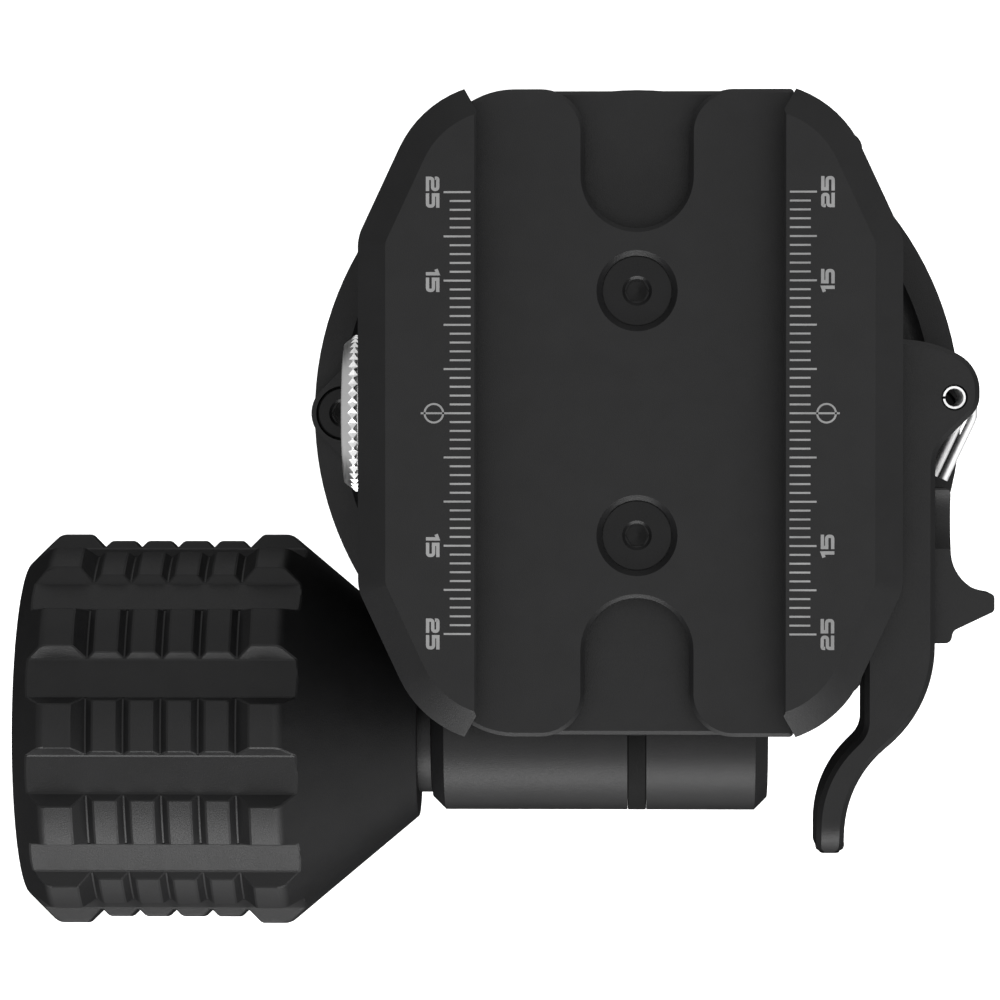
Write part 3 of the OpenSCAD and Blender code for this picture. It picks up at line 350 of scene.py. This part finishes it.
def smooth_by_angle():
    """Nodes that join the split faces of a mesh, and shade it smooth but for its sharper edges."""
    group = bpy.data.node_groups.new("smooth_by_angle", "GeometryNodeTree")
    group.interface.new_socket("Geometry", in_out="INPUT", socket_type="NodeSocketGeometry")
    group.interface.new_socket("Geometry", in_out="OUTPUT", socket_type="NodeSocketGeometry")
    nodes, links = group.nodes, group.links
    merge = nodes.new("GeometryNodeMergeByDistance")
    merge.inputs["Distance"].default_value = SAME_POINT * MM
    drop = nodes.new("GeometryNodeRemoveAttribute")
    drop.inputs["Name"].default_value = "custom_normal"
    smooth = nodes.new("GeometryNodeSetShadeSmooth")
    sharp = nodes.new("GeometryNodeSetShadeSmooth")
    sharp.domain = "EDGE"
    sharp.inputs["Shade Smooth"].default_value = False
    compare = nodes.new("FunctionNodeCompare")
    compare.inputs["B"].default_value = SMOOTH_UNDER
    links.new(nodes.new("GeometryNodeInputMeshEdgeAngle").outputs["Unsigned Angle"], compare.inputs["A"])
    links.new(compare.outputs["Result"], sharp.inputs["Selection"])
    links.new(nodes.new("NodeGroupInput").outputs["Geometry"], merge.inputs["Geometry"])
    links.new(merge.outputs["Geometry"], drop.inputs["Geometry"])
    links.new(drop.outputs["Geometry"], smooth.inputs["Geometry"])
    links.new(smooth.outputs["Geometry"], sharp.inputs["Geometry"])
    links.new(sharp.outputs["Geometry"], nodes.new("NodeGroupOutput").inputs["Geometry"])
    return group


def top_edges(floor, hole, tip):
    """Nodes that mark the sharp edges of the top and of the rolled tip, but for those round a hole."""
    group = bpy.data.node_groups.new("top_edges", "GeometryNodeTree")
    group.interface.new_socket("Geometry", in_out="INPUT", socket_type="NodeSocketGeometry")
    group.interface.new_socket("Geometry", in_out="OUTPUT", socket_type="NodeSocketGeometry")
    nodes, links = group.nodes, group.links

    def over(value, limit):
        node = nodes.new("FunctionNodeCompare")
        node.inputs["B"].default_value = limit
        links.new(value, node.inputs["A"])
        return node.outputs["Result"]

    def both(operation, one, other):
        node = nodes.new("FunctionNodeBooleanMath")
        node.operation = operation
        links.new(one, node.inputs[0])
        links.new(other, node.inputs[1])
        return node.outputs["Boolean"]

    place = nodes.new("GeometryNodeInputPosition").outputs["Position"]
    axes = nodes.new("ShaderNodeSeparateXYZ")
    links.new(place, axes.inputs["Vector"])
    flat = nodes.new("ShaderNodeCombineXYZ")
    links.new(axes.outputs["X"], flat.inputs["X"])
    links.new(axes.outputs["Y"], flat.inputs["Y"])
    away = nodes.new("ShaderNodeVectorMath")
    away.operation = "DISTANCE"
    links.new(flat.outputs["Vector"], away.inputs[0])
    away.inputs[1].default_value = (hole[0] * MM, hole[1] * MM, 0)
    high = over(axes.outputs["Z"], floor)
    rolled = both("NIMPLY", over(axes.outputs["Z"], tip[1] * MM), over(axes.outputs["Y"], tip[0] * MM))
    sharp = over(nodes.new("GeometryNodeInputMeshEdgeAngle").outputs["Unsigned Angle"], ROUND_OVER)
    outside = over(away.outputs["Value"], hole[2] * MM)
    marked = both("AND", both("OR", high, rolled), both("AND", sharp, outside))
    store = nodes.new("GeometryNodeStoreNamedAttribute")
    store.data_type = "FLOAT"
    store.domain = "EDGE"
    store.inputs["Name"].default_value = "bevel_weight_edge"
    links.new(marked, store.inputs["Value"])
    links.new(nodes.new("NodeGroupInput").outputs["Geometry"], store.inputs["Geometry"])
    links.new(store.outputs["Geometry"], nodes.new("NodeGroupOutput").inputs["Geometry"])
    return group


def round_edges(obj, width, marks=None):
    """Joins split faces, and bevels the marked edges of whole flat sides, or else all sharp edges."""
    weld = obj.modifiers.new("weld", "WELD")
    weld.merge_threshold = SAME_POINT * MM
    if marks:
        whole = obj.modifiers.new("whole_sides", "DECIMATE")
        whole.decimate_type = "DISSOLVE"
        whole.angle_limit = FLAT_UNDER
        obj.modifiers.new("marks", "NODES").node_group = marks
    bevel = obj.modifiers.new("edges", "BEVEL")
    bevel.width = width * MM
    bevel.segments = 1
    bevel.limit_method = "WEIGHT" if marks else "ANGLE"
    bevel.angle_limit = ROUND_OVER
    bevel.use_clamp_overlap = False


def dress_cad():
    """Gives each CAD node its finish, bevels the lever and knob, and smooths these, the jaws and the cap."""
    slots = {part["node"]: part["material_slot"] for part in frame["record"]["subparts"]}
    smoothing = smooth_by_angle()
    for name, obj in NODES.items():
        obj.data.materials.clear()
        obj.data.materials.append(OWN_FINISH.get(name, FINISH[slots[name]]))
        if name == "lever":
            top = max(v.co.z for v in obj.data.vertices)
            round_edges(obj, LEVER_EDGE, top_edges(top - TOP_DEPTH * MM, PIN_HOLE, TIP))
        if name == "knob":
            round_edges(obj, KNOB_EDGE)
        if name in SMOOTHED:
            obj.modifiers.new("smooth", "NODES").node_group = smoothing
            obj.modifiers.new("flat_sides", "WEIGHTED_NORMAL").keep_sharp = True


def digit_strokes(digit):
    """The middle line of a squared digit as (x, y, corner radius) from its lower left, and its width."""
    w, h, r = DIGIT_W, DIGIT_H, DIGIT_CORNER
    left = low = DIGIT_STROKE / 2
    right, top, middle = w - left, h - left, h / 2
    if digit == 2:
        line = [(left, TWO_HOOK * h, 0), (left, top, r), (right, top, r), (right, middle, r)]
        return line + [(left, middle, r), (left, low, 0), (w, low, 0)], w
    if digit == 5:
        waist = FIVE_WAIST * h
        line = [(w, top, 0), (left, top, 0), (left, waist, 0), (right, waist, r)]
        return line + [(right, low, r), (0, low, 0)], w
    return [(0, h - DIGIT_STROKE, 0), (ONE_W - left, top, 0), (ONE_W - left, 0, 0)], ONE_W


def rounded_line(points):
    """The points of a line with its corners rounded."""
    line = [Vector(points[0][:2])]
    for before, corner, after in zip(points, points[1:], points[2:]):
        c = Vector(corner[:2])
        if corner[2] == 0:
            line.append(c)
            continue
        u = (Vector(before[:2]) - c).normalized()
        v = (Vector(after[:2]) - c).normalized()
        reach = min(corner[2], (Vector(before[:2]) - c).length / 2, (Vector(after[:2]) - c).length / 2)
        for i in range(CORNER_STEPS + 1):
            f = i / CORNER_STEPS
            line.append(c + u * reach * (1 - f) ** 2 + v * reach * f ** 2)
    line.append(Vector(points[-1][:2]))
    return line[:1] + [b for a, b in zip(line, line[1:]) if (b - a).length > SAME_POINT]


def jaw_scale(name, body, node, jaw):
    """Lines, zero ring and numbers on one jaw, read from outside it."""
    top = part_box(node)[1][2] / MM
    lip = LIP_TOP[jaw]
    side = 1 if jaw == "moving" else -1
    build = Builder()

    def place(along, inset):
        """A point by its distance along the scale and its distance from the lip."""
        return (lip + side * inset, along)

    for y in range(-SCALE_END, SCALE_END + 1):
        length = ZERO_LINE if y == 0 else LONG_LINE if y % LONG_EVERY == 0 else SHORT_LINE
        build.stroke([place(y, LINE_INSET), place(y, LINE_INSET + length)], LINE_W, top, top + MARK_H)
    inner, outer = ZERO_RING_R - LINE_W / 2, ZERO_RING_R + LINE_W / 2
    build.ring(place(0, ZERO_RING_INSET), inner, outer, top, top + MARK_H)
    for number in NUMBERS:
        digits = [digit_strokes(int(d)) for d in str(abs(number))]
        start = -(sum(width for line, width in digits) + DIGIT_GAP * (len(digits) - 1)) / 2
        for line, width in digits:
            middle = DIGIT_INSET + DIGIT_H / 2
            points = [place(number + side * (start + x), middle - y) for x, y in rounded_line(line)]
            build.stroke(points, DIGIT_STROKE, top, top + MARK_H)
            start += width + DIGIT_GAP
    obj = new_object(name, build.vertices, build.faces, engraved)
    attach(obj, body)


def knurled_wheel():
    """The thumbwheel: a cone on its outer side, then ridges with notches across them."""
    low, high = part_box("thumbwheel")
    left, right = low[0] / MM, high[0] / MM
    centre = (low[2] + high[2]) / 2 / MM
    radius = (high[2] - low[2]) / 2 / MM
    count = int((right - left - RIDGE_FIRST - WHEEL_EDGE) / RIDGE_PITCH) + 1
    ridges = [left + RIDGE_FIRST + RIDGE_PITCH * k for k in range(count)]
    reach = RIDGE_FLAT + NOTCH_DEPTH / RIDGE_SLOPE

    def rim(x, turn):
        """The radius of the rim at a place along the axis and round it."""
        ridge = RIDGE_SLOPE * max(0, min(abs(x - r) for r in ridges) - RIDGE_FLAT)
        notch = NOTCH_DEPTH * max(0, 1 - abs(turn - round(turn)) / NOTCH_HALF)
        return radius - max(ridge, notch)

    steps = [NOTCH_HALF * k / NOTCH_STEPS for k in range(NOTCH_STEPS + 1)]
    tooth_steps = steps + [0.5] + [1 - k for k in steps[:0:-1]]
    turns = [tooth + step for tooth in range(WHEEL_TEETH) for step in tooth_steps]
    ways = [RIDGE_FLAT + (reach - RIDGE_FLAT) * k / NOTCH_STEPS for k in range(NOTCH_STEPS + 1)]
    across = [-w for w in reversed(ways)] + ways
    first, last = left + WHEEL_CHAMFER, right - WHEEL_CHAMFER
    rows = [first] + [r + way for r in ridges for way in across] + [last]
    side = rim(first, 0.5)
    hub = [(left + HUB_DEPTH, WHEEL_BORE), (left + HUB_DEPTH, WHEEL_HUB - HUB_ROUND[0])]
    hub += [(left + HUB_DEPTH / 2, WHEEL_HUB), (left, WHEEL_HUB + HUB_ROUND[1])]
    sections = [[point] for point in hub + [(left, side - WHEEL_CHAMFER)]]
    sections += [[(x, min(rim(x, turn), side + RIDGE_SLOPE * (x - left))) for turn in turns] for x in rows]
    sections += [[(right, side - WHEEL_CHAMFER)], [(right, WHEEL_BORE)]]
    around = len(turns)
    vertices, faces = [], []
    for section in sections:
        for i, turn in enumerate(turns):
            angle = 2 * math.pi * turn / WHEEL_TEETH
            x, r = section[i % len(section)]
            vertices.append((x, r * math.cos(angle), centre + r * math.sin(angle)))
    for k in range(len(sections)):
        m = (k + 1) % len(sections)
        for i in range(around):
            j = (i + 1) % around
            a, b, c, d = k * around + i, m * around + i, m * around + j, k * around + j
            x = (vertices[a][0] + vertices[b][0]) / 2
            middle = rim(x, (turns[i] + turns[i] + (turns[j] - turns[i]) % 1) / 2)
            heights = [math.hypot(vertices[v][1], vertices[v][2] - centre) for v in (a, b, c, d)]
            if abs(heights[0] + heights[2] - 2 * middle) < abs(heights[1] + heights[3] - 2 * middle):
                faces += [[a, b, c], [a, c, d]]
            else:
                faces += [[a, b, d], [b, c, d]]
    obj = new_object("thumbwheel_knurled", vertices, faces, stainless)
    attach(obj, "thumbwheel")
    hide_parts("thumbwheel")


def leg_place(out, way, z):
    """A point on a spring leg by its distance from the pin axis and its way along the leg."""
    c, s = math.cos(LEG_TURN), math.sin(LEG_TURN)
    return (SPRING_AXIS[0] + out * c - way * s, SPRING_AXIS[1] - out * s - way * c, z)


def coil_path(start, steps):
    """The short end of a spring and its steps round the pin, from a height."""
    points = [leg_place(SPRING_COIL_R, -SPRING_END, start)]
    for i in range(steps + 1):
        angle = -LEG_TURN - 2 * math.pi * i / SPRING_RINGS
        x = SPRING_AXIS[0] + SPRING_COIL_R * math.cos(angle)
        y = SPRING_AXIS[1] + SPRING_COIL_R * math.sin(angle)
        points.append((x, y, start + SPRING_PITCH * i / SPRING_RINGS))
    return points


def spring_paths():
    """Each spring has a short end, one turn round the pin and a leg."""
    step = LEG_OUT - SPRING_COIL_R
    z = SPRING_LOW + SPRING_PITCH
    lower = coil_path(SPRING_LOW, SPRING_RINGS)
    lower += [leg_place(SPRING_COIL_R, LEG_LEN * k / 3, z) for k in (1, 2, 3)]
    z = SPRING_HIGH + SPRING_PITCH
    upper = coil_path(SPRING_HIGH, SPRING_RINGS - 1)
    upper += [leg_place(SPRING_COIL_R + step / 3, -SPRING_WIRE / 3, z)]
    upper += [leg_place(SPRING_COIL_R + 0.8 * step, SPRING_WIRE / 2, z)]
    upper += [leg_place(LEG_OUT, way, z) for way in (1.4 * SPRING_WIRE, LEG_LEN / 2, LEG_LEN)]
    return lower, upper


def smooth_line(points):
    """More points along a smooth line through the given ones."""
    points = [Vector(p) for p in points]
    padded = [points[0]] + points + [points[-1]]
    line = []
    for a, b, c, d in zip(padded, padded[1:], padded[2:], padded[3:]):
        m, n = (c - a) / 2, (d - b) / 2
        for i in range(SPRING_SMOOTH):
            f = i / SPRING_SMOOTH
            line.append(
                (2 * f ** 3 - 3 * f ** 2 + 1) * b + (f ** 3 - 2 * f ** 2 + f) * m
                + (3 * f ** 2 - 2 * f ** 3) * c + (f ** 3 - f ** 2) * n)
    return line + [points[-1]]


def wire_springs():
    """The latch springs as round wires."""
    curve = bpy.data.curves.new("latch_spring_wires", "CURVE")
    curve.dimensions = "3D"
    curve.bevel_depth = SPRING_WIRE / 2 * MM
    curve.bevel_resolution = WIRE_SIDES
    curve.use_fill_caps = True
    for path in spring_paths():
        points = smooth_line(path)
        spline = curve.splines.new("POLY")
        spline.points.add(len(points) - 1)
        for target, point in zip(spline.points, points):
            target.co = (*(point * MM), 1)
        spline.use_smooth = True
    curve.materials.append(wire_steel)
    obj = bpy.data.objects.new("latch_spring_wires", curve)
    bpy.context.scene.collection.objects.link(obj)
    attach(obj, "lever")
    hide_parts("latch_springs")


def studio():
    """A white floor that only the camera sees, soft lights, and a surround, white above and dark below."""
    material, _, _, shader = node_tree("floor_white")
    shader.inputs["Base Color"].default_value = (FLOOR_GREY, FLOOR_GREY, FLOOR_GREY, 1)
    shader.inputs["Roughness"].default_value = 0.9
    shader.inputs["Emission Color"].default_value = (1, 1, 1, 1)
    shader.inputs["Emission Strength"].default_value = FLOOR_GLOW
    corners = [(x * FLOOR_HALF, y * FLOOR_HALF, 0) for x, y in ((-1, -1), (1, -1), (1, 1), (-1, 1))]
    floor = new_object("floor", corners, [(0, 1, 2, 3)], material)
    floor.visible_diffuse = False
    floor.visible_glossy = False
    world = bpy.data.worlds.new("surround")
    world.use_nodes = True
    nodes, links = world.node_tree.nodes, world.node_tree.links
    axes = nodes.new("ShaderNodeSeparateXYZ")
    links.new(nodes.new("ShaderNodeTexCoord").outputs["Generated"], axes.inputs["Vector"])
    square = calculate(nodes, links, "MULTIPLY", axes.outputs["Y"], axes.outputs["Y"])
    lift = calculate(nodes, links, "MULTIPLY", square, FRONT_LIFT)
    height = calculate(nodes, links, "ADD", axes.outputs["Z"], lift)
    by_height = spread(nodes, links, height, BY_HEIGHT)
    by_side = spread(nodes, links, axes.outputs["X"], BY_SIDE)
    strength = calculate(nodes, links, "MULTIPLY", by_height, by_side)
    links.new(strength, nodes["Background"].inputs["Strength"])
    nodes["Background"].inputs["Color"].default_value = (1, 1, 1, 1)
    bpy.context.scene.world = world
    soft_light("top_softbox", *TOP_LIGHT)
    soft_light("front_softbox", *FRONT_LIGHT)


def soft_light(name, place, target, width, height, watts):
    """A flat light that faces its target."""
    light = bpy.data.lights.new(name, "AREA")
    light.shape = "RECTANGLE"
    light.size = width
    light.size_y = height
    light.energy = watts
    obj = bpy.data.objects.new(name, light)
    obj.location = place
    obj.rotation_euler = (Vector(target) - Vector(place)).to_track_quat("-Z", "Y").to_euler()
    bpy.context.scene.collection.objects.link(obj)


def photo_camera():
    """Straight above the ball axis, turned so that the axis falls where the photograph has it."""
    top = cad_high[2]
    data = bpy.data.cameras.new("camera")
    data.sensor_width = SENSOR
    data.lens = FOCAL_PX / PHOTO_SIZE * SENSOR
    data.clip_start, data.clip_end = CLIP
    camera = bpy.data.objects.new("camera", data)
    camera.location = (0, 0, top + CAMERA_ABOVE_JAWS * MM)
    centre = PHOTO_SIZE / 2
    back = Vector((ABOVE_BALL_PX[0] - centre, centre - ABOVE_BALL_PX[1], FOCAL_PX)).normalized()
    right = Vector((0, 1, 0)).cross(back).normalized()
    camera.rotation_euler = Matrix((right, back.cross(right), back)).transposed().to_euler()
    bpy.context.scene.collection.objects.link(camera)
    bpy.context.scene.camera = camera


dress_cad()
jaw_scale("fixed_jaw_scale", "housing", "clamp_base", "fixed")
jaw_scale("moving_jaw_scale", "moving_jaw", "moving_jaw", "moving")
knurled_wheel()
wire_springs()
studio()
photo_camera()
bpy.context.scene.view_settings.view_transform = "Standard"
